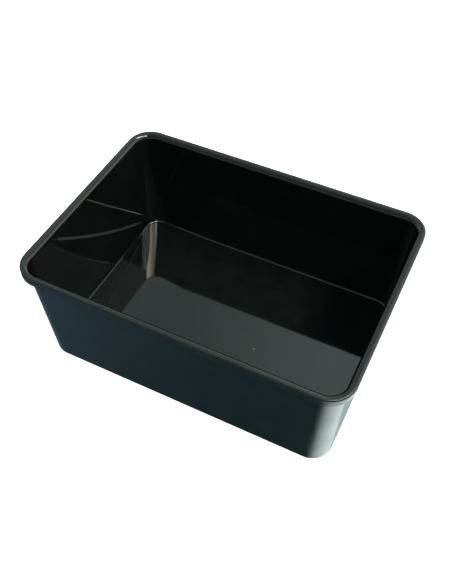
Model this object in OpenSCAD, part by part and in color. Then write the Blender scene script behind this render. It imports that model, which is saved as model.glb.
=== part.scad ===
// Rectangular mortar mixing tub: one plastic moulding with drafted walls and a rolled rim.
// Its regions are drawn as separate solids that meet face to face.
// Origin: the middle of the base, on the ground. +X along the length, +Z up.

/* [Rim] */
// Length over the rim
rim_length = 650; // [560:5:900]
// Width over the rim
rim_width = 470; // [380:5:700]
// Outer radius of the rim's corners
rim_corner_radius = 50; // [40:1:70]
// Height of the lip that turns down around the rim
lip_height = 16.5; // [10:0.5:30]
// How far the lip stands out from the top of the wall, and the radius of the roll between them
lip_overhang = 12.5; // [8:0.5:16]

/* [Tub] */
// Height from the ground to the top of the rim
tub_height = 250; // [120:5:400]
// Length of the base, outside
base_length = 608; // [480:2:620]
// Width of the base, outside
base_width = 424; // [330:2:440]
// Outer radius of the base's corners
base_corner_radius = 42; // [20:1:70]
// Rounding of the outer bottom edge
base_edge_radius = 4; // [1:0.5:8]
// Radius of the cove between the floor and the walls, inside
cove_radius = 5; // [2:0.5:10]

/* [Plastic] */
// Thickness of the walls and of the rim
wall = 3.5; // [2:0.1:4.5]
// Thickness of the floor
floor_thickness = 3.5; // [2:0.1:6]

/* [Hidden] */

// Straight steps that stand for a quarter turn of each small rounding, the roll and a corner.
edge_steps = 6;
roll_steps = 8;
corner_steps = 16;
// Segments of the full circles, which are true curves in the finished solids.
$fn = 96;

plastic = [0.06, 0.07, 0.08];

wall_top = tub_height - lip_overhang;
wall_top_radius = rim_corner_radius - lip_overhang;
rim_run_x = rim_length - 2 * rim_corner_radius;
rim_run_y = rim_width - 2 * rim_corner_radius;

// The walls lean outwards: each of these is a straight line in height, from base to wall top.
function at_height(base, top, z) = base + (top - base) * z / wall_top;
function half_length(z) = at_height(base_length / 2, rim_length / 2 - lip_overhang, z);
function half_width(z) = at_height(base_width / 2, rim_width / 2 - lip_overhang, z);
function corner_radius(z) = at_height(base_corner_radius, wall_top_radius, z);
function corner_x(z) = half_length(z) - corner_radius(z);
function corner_y(z) = half_width(z) - corner_radius(z);

// A quarter round as [distance in from the wall, rise] pairs, from its foot to the wall.
function quarter_round(radius) = [
    for (i = [0:edge_steps])
        let (a = 90 * i / edge_steps)
        [radius * (1 - sin(a)), radius * (1 - cos(a))]
];
function reversed(list) = [for (i = [len(list) - 1:-1:0]) list[i]];
function arc(radius, from, to, steps) = [
    for (i = [0:steps])
        let (a = from + (to - from) * i / steps)
        radius * [cos(a), sin(a)]
];
function shifted(points, by) = [for (p = points) p + by];

base_edge = quarter_round(base_edge_radius);
cove = quarter_round(cove_radius);
foot = wall + cove_radius;
floor_half_x = half_length(floor_thickness) - foot;
floor_half_y = half_width(floor_thickness) - foot;
floor_corner_radius = corner_radius(floor_thickness) - foot;

// The section of every wall, as [distance in from the outer face, height, height whose
// outline it is measured from]: the outer edge rounding, the drafted wall, the cove and its foot.
wall_section = concat(
    [for (e = base_edge) [e[0], e[1], e[1]]],
    [[0, wall_top, wall_top], [wall, wall_top, wall_top]],
    [for (c = reversed(cove)) [wall + c[0], floor_thickness + c[1], floor_thickness + c[1]]],
    [[foot, 0, floor_thickness]]
);

// Straight wall that faces -Y. outs and ends are [at the base, at the wall top]:
// how far out the wall stands, and half its run between the corners.
module straight_wall(outs, ends) {
    reach = max(outs) + 1;
    run = 2 * max(ends) + 2;
    intersection() {
        rotate([90, 0, 90])
            linear_extrude(height = run, center = true)
                polygon([for (p = wall_section) [p[0] - at_height(outs[0], outs[1], p[2]), p[1]]]);
        rotate([90, 0, 0])
            linear_extrude(height = 2 * reach, center = true)
                polygon([[-ends[0], 0], [ends[0], 0], [ends[1], wall_top], [-ends[1], wall_top]]);
    }
}

module long_wall() {
    straight_wall(
        [half_width(0), half_width(wall_top)],
        [corner_x(0), corner_x(wall_top)]
    );
}

module end_wall() {
    straight_wall(
        [half_length(0), half_length(wall_top)],
        [corner_y(0), corner_y(wall_top)]
    );
}

module floor_outline() {
    centre_x = floor_half_x - floor_corner_radius;
    centre_y = floor_half_y - floor_corner_radius;
    square([2 * floor_half_x, 2 * centre_y], center = true);
    square([2 * centre_x, 2 * floor_half_y], center = true);
    for (x = [-centre_x, centre_x], y = [-centre_y, centre_y])
        translate([x, y])
            circle(r = floor_corner_radius);
}

// Curved wall at the +X +Y corner: the wall section swept through a quarter turn, about
// a centre that moves out and a radius that shrinks with height.
module corner_wall() {
    sides = len(wall_section);
    polyhedron(
        points = [
            for (i = [0:corner_steps], p = wall_section)
                let (a = 90 * i / corner_steps, radius = corner_radius(p[2]) - p[0])
                [corner_x(p[2]) + radius * cos(a), corner_y(p[2]) + radius * sin(a), p[1]]
        ],
        faces = concat(
            [[for (k = [sides - 1:-1:0]) k]],
            [
                for (i = [0:corner_steps - 1], k = [0:sides - 1])
                    let (next = (k + 1) % sides)
                    [i * sides + k, i * sides + next, (i + 1) * sides + next, (i + 1) * sides + k]
            ],
            [[for (k = [0:sides - 1]) corner_steps * sides + k]]
        )
    );
}

// Section of the rim as [distance in from the rim's outer face, height]: the lip, its rounded
// edge, and the roll from the crest down to the top of the wall, all one thickness.
module rim_section() {
    roll_centre = [wall, wall_top];
    edge_centre = [wall, tub_height - wall];
    lip_foot = tub_height - lip_height;
    polygon(concat(
        [[0, lip_foot]],
        shifted(arc(wall, 180, 90, edge_steps), edge_centre),
        shifted(arc(lip_overhang, 90, 0, roll_steps), roll_centre),
        shifted(arc(lip_overhang - wall, 0, 90, roll_steps), roll_centre),
        [[wall, lip_foot]]
    ));
}

// Straight run of the rim that faces -Y.
module straight_rim(out, run) {
    translate([-run / 2, -out, 0])
        rotate([90, 0, 90])
            linear_extrude(height = run)
                rim_section();
}

// Quarter turn of the rim at the +X +Y corner.
module corner_rim() {
    translate([rim_run_x / 2, rim_run_y / 2, 0])
        rotate_extrude(angle = 90)
            translate([rim_corner_radius, 0])
                mirror([1, 0])
                    rim_section();
}

module floor_panel() {
    color(plastic)
        linear_extrude(height = floor_thickness)
            floor_outline();
}

module front_wall() { color(plastic) long_wall(); }
module back_wall() { color(plastic) mirror([0, 1, 0]) long_wall(); }
module left_wall() { color(plastic) rotate([0, 0, -90]) end_wall(); }
module right_wall() { color(plastic) rotate([0, 0, 90]) end_wall(); }

module back_right_corner() { color(plastic) corner_wall(); }
module back_left_corner() { color(plastic) mirror([1, 0, 0]) corner_wall(); }
module front_right_corner() { color(plastic) mirror([0, 1, 0]) corner_wall(); }
module front_left_corner() { color(plastic) rotate([0, 0, 180]) corner_wall(); }

module front_rim() { color(plastic) straight_rim(rim_width / 2, rim_run_x); }
module back_rim() { color(plastic) mirror([0, 1, 0]) straight_rim(rim_width / 2, rim_run_x); }
module left_rim() { color(plastic) rotate([0, 0, -90]) straight_rim(rim_length / 2, rim_run_y); }
module right_rim() { color(plastic) rotate([0, 0, 90]) straight_rim(rim_length / 2, rim_run_y); }

module back_right_rim_corner() { color(plastic) corner_rim(); }
module back_left_rim_corner() { color(plastic) mirror([1, 0, 0]) corner_rim(); }
module front_right_rim_corner() { color(plastic) mirror([0, 1, 0]) corner_rim(); }
module front_left_rim_corner() { color(plastic) rotate([0, 0, 180]) corner_rim(); }

floor_panel();
front_wall();
back_wall();
left_wall();
right_wall();
front_left_corner();
front_right_corner();
back_left_corner();
back_right_corner();
front_rim();
back_rim();
left_rim();
right_rim();
front_left_rim_corner();
front_right_rim_corner();
back_left_rim_corner();
back_right_rim_corner();
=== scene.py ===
"""Mortar mixing tub: one black plastic moulding, drawn as a single continuous shell.

The CAD frame gives the main sizes. Lengths are in metres, angles in degrees, +Z is up and the
base stands on the ground.
"""
import math

import bpy
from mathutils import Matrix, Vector


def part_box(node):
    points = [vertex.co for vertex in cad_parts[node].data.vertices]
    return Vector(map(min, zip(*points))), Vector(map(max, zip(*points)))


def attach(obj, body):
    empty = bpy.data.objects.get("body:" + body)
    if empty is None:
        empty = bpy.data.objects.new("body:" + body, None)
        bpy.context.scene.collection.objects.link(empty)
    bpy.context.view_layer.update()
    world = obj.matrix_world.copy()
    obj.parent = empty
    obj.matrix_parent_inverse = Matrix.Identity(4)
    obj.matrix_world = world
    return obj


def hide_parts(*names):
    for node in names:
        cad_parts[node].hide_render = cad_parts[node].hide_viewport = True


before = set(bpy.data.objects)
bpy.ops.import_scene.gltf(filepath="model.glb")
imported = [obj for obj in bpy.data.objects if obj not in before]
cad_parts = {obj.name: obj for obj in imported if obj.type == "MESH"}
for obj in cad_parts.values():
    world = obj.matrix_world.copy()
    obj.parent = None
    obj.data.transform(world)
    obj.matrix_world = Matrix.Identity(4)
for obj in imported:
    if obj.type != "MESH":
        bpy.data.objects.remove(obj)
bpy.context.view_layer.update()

# ---------------------------------------------------------------- sizes read from the frame
floor_low, floor_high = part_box("floor_panel")
wall_low, wall_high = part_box("right_wall")
rim_low, rim_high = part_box("right_rim")
rim_corner_low, rim_corner_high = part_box("back_right_rim_corner")

TUB_HEIGHT = rim_high.z
RIM_HALF_X = rim_high.x
RIM_HALF_Y = rim_corner_high.y
RIM_CORNER_RADIUS = rim_corner_high.x - rim_corner_low.x
LIP_FOOT = rim_low.z
WALL_TOP = wall_high.z
FLOOR_TOP = floor_high.z
# The walls and the rim are as thick as the floor.
WALL = FLOOR_TOP
# How far the lip stands out from the wall's top, and the radius of the roll between them.
LIP_OVERHANG = rim_high.x - rim_low.x - WALL

# ---------------------------------------------------------------- sizes of the moulding's details
COVE_RADIUS = 0.005
BASE_EDGE_RADIUS = 0.004
BASE_CORNER_RADIUS = 0.042
LIP_EDGE_RADIUS = 0.001

# The moulded floor isn't quite flat. It lies FLOOR_LEVEL off its nominal height and rises by
# FLOOR_RISE between two distances to the left of the middle, RISE_START and RISE_END. Both fade
# out up the foot of the walls, over RISE_FADE.
FLOOR_LEVEL = -0.0024
FLOOR_RISE = 0.0065
RISE_START = 0.13
RISE_END = 0.32
RISE_FADE = 0.04

TOP_HALF_X = RIM_HALF_X - LIP_OVERHANG
TOP_HALF_Y = RIM_HALF_Y - LIP_OVERHANG
TOP_CORNER_RADIUS = RIM_CORNER_RADIUS - LIP_OVERHANG
FOOT = WALL + COVE_RADIUS
FLOOR_SHARE = FLOOR_TOP / WALL_TOP


def base_from(floor_half, top_half):
    """Half size of the base, from the half sizes of the floor's edge and of the wall's top."""
    return (floor_half + FOOT - top_half * FLOOR_SHARE) / (1 - FLOOR_SHARE)


BASE_HALF_X = base_from(floor_high.x, TOP_HALF_X)
BASE_HALF_Y = base_from(floor_high.y, TOP_HALF_Y)

# ---------------------------------------------------------------- mesh density
# Steps of a whole corner, of a straight run along X and Y, of a small rounding, of the roll,
# of a wall's height, and of each stretch of the lip.
CORNER_STEPS = 28
RUN_STEPS_X = 44
RUN_STEPS_Y = 32
ROUND_STEPS = 8
ROLL_STEPS = 14
WALL_STEPS = 20
LIP_STEPS = 4


# ---------------------------------------------------------------- outlines and sections
def wall_outline(inset, height):
    """Half sizes, corner radius and height of the drafted wall's outline, in by inset."""
    share = height / WALL_TOP
    half_x = BASE_HALF_X + (TOP_HALF_X - BASE_HALF_X) * share
    half_y = BASE_HALF_Y + (TOP_HALF_Y - BASE_HALF_Y) * share
    radius = BASE_CORNER_RADIUS + (TOP_CORNER_RADIUS - BASE_CORNER_RADIUS) * share
    return half_x - inset, half_y - inset, radius - inset, height


def rim_outline(inset, height):
    """The same for the rim, whose corners keep one centre."""
    return RIM_HALF_X - inset, RIM_HALF_Y - inset, RIM_CORNER_RADIUS - inset, height


def arc(centre, radius, start, end, steps=ROUND_STEPS):
    """Points of a round as (across, up) pairs, angles in degrees."""
    points = []
    for i in range(steps + 1):
        angle = math.radians(start + (end - start) * i / steps)
        points.append((centre[0] + radius * math.cos(angle), centre[1] + radius * math.sin(angle)))
    return points


def between(first, last, steps):
    """Points of a straight run, without its ends."""
    return [first + (last - first) * i / steps for i in range(1, steps)]


def eased(first, last, steps):
    """Points of a straight run, closer together near its ends, without its ends."""
    return [first + (last - first) * (1 - math.cos(math.pi * i / steps)) / 2 for i in range(1, steps)]


def outer_rows():
    """Outlines from the foot of the base's edge up the outside, round the lip, to the crest."""
    rows = []
    for inset, height in arc((BASE_EDGE_RADIUS, BASE_EDGE_RADIUS), BASE_EDGE_RADIUS, 270, 180):
        rows.append(wall_outline(inset, height))
    for height in eased(BASE_EDGE_RADIUS, WALL_TOP, WALL_STEPS):
        rows.append(wall_outline(0, height))
    for inset, height in arc((WALL, WALL_TOP), LIP_OVERHANG - WALL, 0, 90):
        rows.append(rim_outline(inset, height))
    lip_edge = LIP_FOOT + LIP_EDGE_RADIUS
    for height in between(TUB_HEIGHT - WALL, lip_edge, LIP_STEPS):
        rows.append(rim_outline(WALL, height))
    for inset, height in arc((WALL - LIP_EDGE_RADIUS, lip_edge), LIP_EDGE_RADIUS, 0, -90, LIP_STEPS):
        rows.append(rim_outline(inset, height))
    for inset, height in arc((LIP_EDGE_RADIUS, lip_edge), LIP_EDGE_RADIUS, 270, 180, LIP_STEPS):
        rows.append(rim_outline(inset, height))
    for height in between(lip_edge, TUB_HEIGHT - WALL, LIP_STEPS):
        rows.append(rim_outline(0, height))
    for inset, height in arc((WALL, TUB_HEIGHT - WALL), WALL, 180, 90):
        rows.append(rim_outline(inset, height))
    return rows


def inner_rows():
    """Outlines from the crest, down the roll and the inside of the walls, to the floor."""
    rows = []
    for inset, height in arc((WALL, WALL_TOP), LIP_OVERHANG, 90, 0, ROLL_STEPS)[1:]:
        rows.append(rim_outline(inset, height))
    cove_top = FLOOR_TOP + COVE_RADIUS
    for height in eased(WALL_TOP, cove_top, WALL_STEPS):
        rows.append(wall_outline(WALL, height))
    for inset, height in arc((FOOT, cove_top), COVE_RADIUS, 180, 270):
        rows.append(wall_outline(inset, height))
    return rows


def ring(half_x, half_y, radius, height):
    """One closed outline, counterclockwise from the middle of the front left corner."""
    centre_x = half_x - radius
    centre_y = half_y - radius
    points = []

    def turn(sign_x, sign_y, start, end, steps):
        for i in range(steps):
            angle = math.radians(start + (end - start) * i / steps)
            x = sign_x * centre_x + radius * math.cos(angle)
            y = sign_y * centre_y + radius * math.sin(angle)
            points.append(Vector((x, y, height)))

    def run(first, last, steps):
        for i in range(steps):
            points.append(first.lerp(last, i / steps))

    half_turn = CORNER_STEPS // 2
    turn(-1, -1, 225, 270, half_turn)
    run(Vector((-centre_x, -half_y, height)), Vector((centre_x, -half_y, height)), RUN_STEPS_X)
    turn(1, -1, 270, 360, CORNER_STEPS)
    run(Vector((half_x, -centre_y, height)), Vector((half_x, centre_y, height)), RUN_STEPS_Y)
    turn(1, 1, 0, 90, CORNER_STEPS)
    run(Vector((centre_x, half_y, height)), Vector((-centre_x, half_y, height)), RUN_STEPS_X)
    turn(-1, 1, 90, 180, CORNER_STEPS)
    run(Vector((-half_x, centre_y, height)), Vector((-half_x, -centre_y, height)), RUN_STEPS_Y)
    turn(-1, -1, 180, 225, half_turn)
    return points


def patch(outline):
    """Points inside a ring, as a grid of rows from front to back whose edge is the ring."""
    across = RUN_STEPS_X + CORNER_STEPS
    along = RUN_STEPS_Y + CORNER_STEPS
    front = outline[: across + 1]
    right = outline[across : across + along + 1]
    back = outline[across + along : 2 * across + along + 1][::-1]
    left = (outline[2 * across + along :] + outline[:1])[::-1]
    grid = []
    for j in range(along + 1):
        v = j / along
        row = []
        for i in range(across + 1):
            u = i / across
            sides = front[i] * (1 - v) + back[i] * v + left[j] * (1 - u) + right[j] * u
            corners = (front[0] * (1 - u) + front[-1] * u) * (1 - v)
            corners += (back[0] * (1 - u) + back[-1] * u) * v
            row.append(sides - corners)
        grid.append(row)
    return grid


def warped(point):
    """The point, moved by the rise of the floor, which fades out up the foot of the walls."""
    share = min(max((-point.x - RISE_START) / (RISE_END - RISE_START), 0), 1)
    rise = FLOOR_RISE * share * share * (3 - 2 * share) + FLOOR_LEVEL
    fade = min(max(1 - (point.z - FLOOR_TOP) / RISE_FADE, 0), 1)
    return Vector((point.x, point.y, point.z + rise * fade))


class Shell:
    """Collects the points and faces of the moulding."""

    def __init__(self):
        self.points = []
        self.faces = []
        self.inside = []

    def add(self, point, inside):
        self.points.append(warped(point) if inside else point)
        return len(self.points) - 1

    def add_ring(self, outline, inside):
        return [self.add(point, inside) for point in outline]

    def join(self, lower, upper, inside):
        count = len(lower)
        for i in range(count):
            after = (i + 1) % count
            self.faces.append((lower[i], lower[after], upper[after], upper[i]))
            self.inside.append(inside)

    def close(self, edge, outline, inside, upward):
        """Fills a ring with a grid. upward says which way its faces look."""
        grid = patch(outline)
        across = RUN_STEPS_X + CORNER_STEPS
        along = RUN_STEPS_Y + CORNER_STEPS
        index = {}
        for i in range(across + 1):
            index[i, 0] = edge[i]
            index[i, along] = edge[(2 * across + along - i) % len(edge)]
        for j in range(along + 1):
            index[across, j] = edge[across + j]
            index[0, j] = edge[(2 * across + 2 * along - j) % len(edge)]
        for j in range(1, along):
            for i in range(1, across):
                index[i, j] = self.add(grid[j][i], inside)
        for j in range(along):
            for i in range(across):
                face = (index[i, j], index[i + 1, j], index[i + 1, j + 1], index[i, j + 1])
                self.faces.append(face if upward else face[::-1])
                self.inside.append(inside)


def tub_shell():
    """The whole moulding: underside, outside, lip, roll, inside and floor."""
    shell = Shell()
    outlines = [(ring(*row), False) for row in outer_rows()]
    outlines += [(ring(*row), True) for row in inner_rows()]
    rings = [shell.add_ring(outline, inside) for outline, inside in outlines]
    shell.close(rings[0], outlines[0][0], False, upward=False)
    for i in range(len(rings) - 1):
        shell.join(rings[i], rings[i + 1], outlines[i][1])
    shell.close(rings[-1], outlines[-1][0], True, upward=True)

    mesh = bpy.data.meshes.new("tub_shell")
    mesh.from_pydata(shell.points, [], shell.faces)
    for polygon, inside in zip(mesh.polygons, shell.inside):
        polygon.material_index = 1 if inside else 0
        polygon.use_smooth = True
    mesh.validate()
    piece = bpy.data.objects.new("tub_shell", mesh)
    bpy.context.scene.collection.objects.link(piece)
    normals = piece.modifiers.new("weighted_normals", "WEIGHTED_NORMAL")
    normals.mode = "FACE_AREA"
    normals.keep_sharp = False
    return piece


# ---------------------------------------------------------------- materials
class Nodes:
    """Short way to add and link shader nodes."""

    def __init__(self, tree):
        self.tree = tree
        tree.nodes.clear()

    def add(self, kind, **inputs):
        node = self.tree.nodes.new(kind)
        for name, value in inputs.items():
            self.set(node.inputs[name.replace("_", " ")], value)
        return node

    def set(self, socket, value):
        if isinstance(value, bpy.types.NodeSocket):
            self.tree.links.new(value, socket)
        else:
            socket.default_value = value

    def ramp(self, source, stops):
        node = self.add("ShaderNodeValToRGB", Fac=source)
        elements = node.color_ramp.elements
        while len(elements) < len(stops):
            elements.new(0.5)
        for element, (place, colour) in zip(elements, stops):
            element.position = place
            element.color = colour if len(colour) == 4 else (*colour, 1)
        return node.outputs["Color"]

    def noise(self, coordinates, scale, detail=3.0, roughness=0.5):
        node = self.add("ShaderNodeTexNoise", Vector=coordinates, Scale=scale, Detail=detail)
        node.inputs["Roughness"].default_value = roughness
        return node.outputs["Fac"]

    def math(self, operation, first, second=0.0):
        node = self.tree.nodes.new("ShaderNodeMath")
        node.operation = operation
        self.set(node.inputs[0], first)
        self.set(node.inputs[1], second)
        return node.outputs[0]

    def times(self, first, second):
        return self.math("MULTIPLY", first, second)

    def step(self, source, start, end):
        """0 where the source is at start, 1 at end, and smooth between them."""
        node = self.add("ShaderNodeMapRange", Value=source)
        node.interpolation_type = "SMOOTHSTEP"
        low, high = (1.0, 0.0) if start > end else (0.0, 1.0)
        self.set(node.inputs["From Min"], min(start, end))
        self.set(node.inputs["From Max"], max(start, end))
        self.set(node.inputs["To Min"], low)
        self.set(node.inputs["To Max"], high)
        return node.outputs["Result"]

    def band(self, source, low, high, edge):
        """1 where the source is between low and high, with soft edges outside them."""
        return self.times(self.step(source, low - edge, low), self.step(source, high + edge, high))

    def mix(self, factor, first, second):
        """Colour between two: each is a colour or the output of a node."""
        node = self.tree.nodes.new("ShaderNodeMix")
        node.data_type = "RGBA"
        self.set(node.inputs["Factor"], factor)
        for socket, colour in ((node.inputs[6], first), (node.inputs[7], second)):
            self.set(socket, (*colour, 1) if isinstance(colour, tuple) else colour)
        return node.outputs[2]


def grey(value):
    return (value, value, value)


# Painted reflection streak inside the left wall: a pale curved line painted into the colour where
# a reflected highlight runs. Its height is a parabola in y: the height at the middle of the
# wall, the fall per metre there, and the bend. Then its width, where it starts and ends, how far
# its ends fade, and its colour.
STREAK_HEIGHT = 0.136
STREAK_FALL = 0.736
STREAK_BEND = 0.59
STREAK_WIDTH = 0.010
STREAK_FRONT = -0.10
STREAK_BACK = 0.14
STREAK_FADE = 0.03
# Colour of the painted reflection streak, paler than the plastic.
PAINTED_REFLECTION_COLOUR = (0.024, 0.030, 0.031)

# Speck of dust on the floor.
SPECK = (0.078, -0.031, FLOOR_TOP + FLOOR_LEVEL)
SPECK_RADIUS = 0.0012
SPECK_COLOUR = (0.16, 0.17, 0.17)


def painted_reflection_streak(nodes, place):
    """1 on the painted reflection streak, a long faint pale line down the inside of the left wall,
    and 0 elsewhere.
    """
    parts = nodes.add("ShaderNodeSeparateXYZ", Vector=place)
    x, y, z = parts.outputs["X"], parts.outputs["Y"], parts.outputs["Z"]
    fall = nodes.math("SUBTRACT", STREAK_FALL, nodes.times(y, STREAK_BEND))
    line = nodes.math("ADD", z, nodes.times(y, fall))
    soft = STREAK_WIDTH / 4
    painted_streak = nodes.band(line, STREAK_HEIGHT - soft, STREAK_HEIGHT + soft, soft)
    painted_streak = nodes.times(painted_streak, nodes.band(y, STREAK_FRONT, STREAK_BACK, STREAK_FADE))
    painted_streak = nodes.times(painted_streak, nodes.step(x, -floor_high.x, -floor_high.x - COVE_RADIUS))
    streak_gaps = nodes.step(nodes.noise(place, 30.0), -0.3, 0.6)
    return nodes.times(painted_streak, streak_gaps)


def dust_speck(nodes, place):
    """1 on the speck of dust, and 0 elsewhere."""
    distance = nodes.tree.nodes.new("ShaderNodeVectorMath")
    distance.operation = "DISTANCE"
    nodes.set(distance.inputs[0], place)
    nodes.set(distance.inputs[1], SPECK)
    return nodes.step(distance.outputs["Value"], 1.5 * SPECK_RADIUS, 0.5 * SPECK_RADIUS)


def plastic(name, smooth, dull, grain_scale, grain_depth, painted_streak_and_dust=False):
    """Black moulded plastic. smooth and dull are the roughness where it is clean and scuffed.

    With painted_streak_and_dust set, the surface also has the painted reflection streak (a pale line
    painted in where a highlight runs) and the speck of dust.
    """
    material = bpy.data.materials.new(name)
    material.use_nodes = True
    nodes = Nodes(material.node_tree)
    place = nodes.add("ShaderNodeTexCoord").outputs["Object"]

    tone = nodes.noise(place, 18.0, 4.0, 0.6)
    colour = nodes.ramp(tone, [(0.35, (0.0023, 0.0034, 0.0034)), (0.7, (0.0042, 0.0058, 0.0056))])
    cloud = nodes.noise(place, 14.0, 5.0, 0.6)
    roughness = nodes.ramp(cloud, [(0.35, grey(smooth)), (0.75, grey(dull))])
    if painted_streak_and_dust:
        # Painted reflection: a pale streak is painted into the left wall's colour where a highlight
        # runs, and it is made rougher there.
        painted_streak = painted_reflection_streak(nodes, place)
        colour = nodes.mix(painted_streak, colour, PAINTED_REFLECTION_COLOUR)
        roughness = nodes.mix(painted_streak, roughness, grey(0.45))
        speck = dust_speck(nodes, place)
        colour = nodes.mix(speck, colour, SPECK_COLOUR)
        roughness = nodes.mix(speck, roughness, grey(0.8))

    ripple = nodes.noise(place, 14.0, 1.0)
    grain = nodes.noise(place, grain_scale, 2.0)
    wave = nodes.add("ShaderNodeBump", Strength=0.08, Distance=0.0005, Height=ripple)
    bump = nodes.add("ShaderNodeBump", Strength=0.5, Distance=grain_depth, Height=grain)
    nodes.set(bump.inputs["Normal"], wave.outputs["Normal"])

    shader = nodes.add("ShaderNodeBsdfPrincipled", Roughness=roughness, IOR=1.5)
    nodes.set(shader.inputs["Base Color"], colour)
    nodes.set(shader.inputs["Normal"], bump.outputs["Normal"])
    output = nodes.add("ShaderNodeOutputMaterial")
    nodes.set(output.inputs["Surface"], shader.outputs["BSDF"])
    return material


# ---------------------------------------------------------------- stage
def studio_floor():
    """Pale floor out to the horizon. Reflections leave it out and show the surround instead."""
    half = 60.0
    corners = [(-half, -half, 0), (half, -half, 0), (half, half, 0), (-half, half, 0)]
    mesh = bpy.data.meshes.new("studio_floor")
    mesh.from_pydata(corners, [], [(0, 1, 2, 3)])
    floor = bpy.data.objects.new("studio_floor", mesh)
    bpy.context.scene.collection.objects.link(floor)
    material = bpy.data.materials.new("studio_floor")
    material.use_nodes = True
    nodes = Nodes(material.node_tree)
    shader = nodes.add("ShaderNodeBsdfPrincipled", Roughness=0.9)
    shader.inputs["Base Color"].default_value = (0.6, 0.6, 0.6, 1)
    shader.inputs["Emission Color"].default_value = (1, 1, 1, 1)
    shader.inputs["Emission Strength"].default_value = 0.9
    output = nodes.add("ShaderNodeOutputMaterial")
    nodes.set(output.inputs["Surface"], shader.outputs["BSDF"])
    mesh.materials.append(material)
    floor.visible_glossy = False


def studio_light():
    """Surround of the tub, by direction: x to the right, y to the back, z up, each from -1 to 1."""
    world = bpy.data.worlds.new("studio")
    bpy.context.scene.world = world
    world.use_nodes = True
    nodes = Nodes(world.node_tree)
    direction = nodes.add("ShaderNodeTexCoord").outputs["Generated"]
    parts = nodes.add("ShaderNodeSeparateXYZ", Vector=direction)
    x, y, z = parts.outputs["X"], parts.outputs["Y"], parts.outputs["Z"]

    # The room above the horizon: dim in front, brighter overhead and towards the back.
    overhead = nodes.ramp(nodes.step(y, -1.0, 0.6), [
        (0.0, (0.30, 0.31, 0.31)),
        (0.3, (0.38, 0.42, 0.43)),
        (0.7, (0.80, 1.00, 1.02)),
        (1.0, (0.98, 1.20, 1.18)),
    ])
    # The pale backdrop behind the tub, from left to right, with a warm glow low on its right.
    backdrop = nodes.ramp(nodes.step(x, -0.6, 0.6), [
        (0.12, (0.60, 0.74, 0.72)),
        (0.23, (0.88, 1.06, 1.03)),
        (0.35, (1.30, 1.55, 1.50)),
        (0.65, (1.10, 1.25, 1.20)),
        (0.85, (0.85, 0.98, 0.98)),
    ])
    glow = nodes.times(nodes.step(x, 0.3, 0.5), nodes.step(z, 0.55, 0.45))
    backdrop = nodes.mix(glow, backdrop, (2.1, 2.15, 1.8))
    above = nodes.mix(nodes.step(y, 0.3, 0.5), overhead, backdrop)

    # A row of warm lamps high on the right, brightest at its front end.
    lamps = nodes.times(nodes.step(x, 0.38, 0.50), nodes.band(y, -0.48, 0.40, 0.08))
    lamps = nodes.times(lamps, nodes.band(z, 0.78, 0.85, 0.02))
    shine = nodes.mix(nodes.step(y, -0.15, 0.0), (20.0, 19.0, 15.0), (33.0, 31.0, 24.0))
    shine = nodes.mix(nodes.step(y, -0.28, -0.36), shine, (85.0, 82.0, 70.0))
    above = nodes.mix(lamps, above, shine)

    # Below the horizon: blue green ground, bluer on the left and darker near the tub, and a
    # bright patch of it on the right.
    ground = nodes.mix(nodes.step(x, -0.38, -0.52), (0.105, 0.185, 0.225), (0.15, 0.28, 0.39))
    ground = nodes.mix(nodes.step(z, -0.85, -0.91), ground, (0.0, 0.05, 0.05))
    bright_patch = nodes.times(nodes.step(x, 0.02, 0.45), nodes.step(z, -0.6, -0.85))
    ground = nodes.mix(bright_patch, ground, (3.3, 3.9, 3.85))
    colour = nodes.mix(nodes.step(z, -0.15, 0.1), ground, above)

    # A pale horizon, darker on the left.
    horizon = nodes.mix(nodes.step(x, -0.35, -0.6), (1.20, 1.24, 1.24), (0.40, 0.48, 0.50))
    colour = nodes.mix(nodes.band(z, -0.02, 0.10, 0.08), colour, horizon)

    background = nodes.add("ShaderNodeBackground", Color=colour, Strength=1.0)
    output = nodes.add("ShaderNodeOutputWorld")
    nodes.set(output.inputs["Surface"], background.outputs["Background"])


# ---------------------------------------------------------------- camera
# Azimuth is from -Y towards +X. The camera looks at the middle of the tub, moved to the right
# and up in its picture by AIM_RIGHT and AIM_UP. The lens is in millimetres.
CAMERA_AZIMUTH = 26.4
CAMERA_ELEVATION = 50.3
CAMERA_DISTANCE = 1.4416
CAMERA_LENS = 44.5
AIM_RIGHT = -0.0015
AIM_UP = -0.0089


def camera():
    azimuth = math.radians(CAMERA_AZIMUTH)
    elevation = math.radians(CAMERA_ELEVATION)
    back = Vector((
        math.sin(azimuth) * math.cos(elevation),
        -math.cos(azimuth) * math.cos(elevation),
        math.sin(elevation),
    ))
    right = Vector((math.cos(azimuth), math.sin(azimuth), 0))
    up = back.cross(right)
    aim = Vector((0, 0, TUB_HEIGHT / 2)) + AIM_RIGHT * right + AIM_UP * up
    data = bpy.data.cameras.new("camera")
    data.lens = CAMERA_LENS
    view = bpy.data.objects.new("camera", data)
    view.location = aim + CAMERA_DISTANCE * back
    view.rotation_euler = back.to_track_quat("Z", "Y").to_euler()
    bpy.context.scene.collection.objects.link(view)
    bpy.context.scene.camera = view


bpy.context.scene.view_settings.view_transform = "Standard"
camera()
studio_floor()
studio_light()

tub = tub_shell()
tub.data.materials.append(plastic("satin_black_plastic", 0.28, 0.38, 900.0, 0.00006))
tub.data.materials.append(plastic("polished_black_plastic", 0.03, 0.07, 500.0, 0.00001, painted_streak_and_dust=True))
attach(tub, "root")
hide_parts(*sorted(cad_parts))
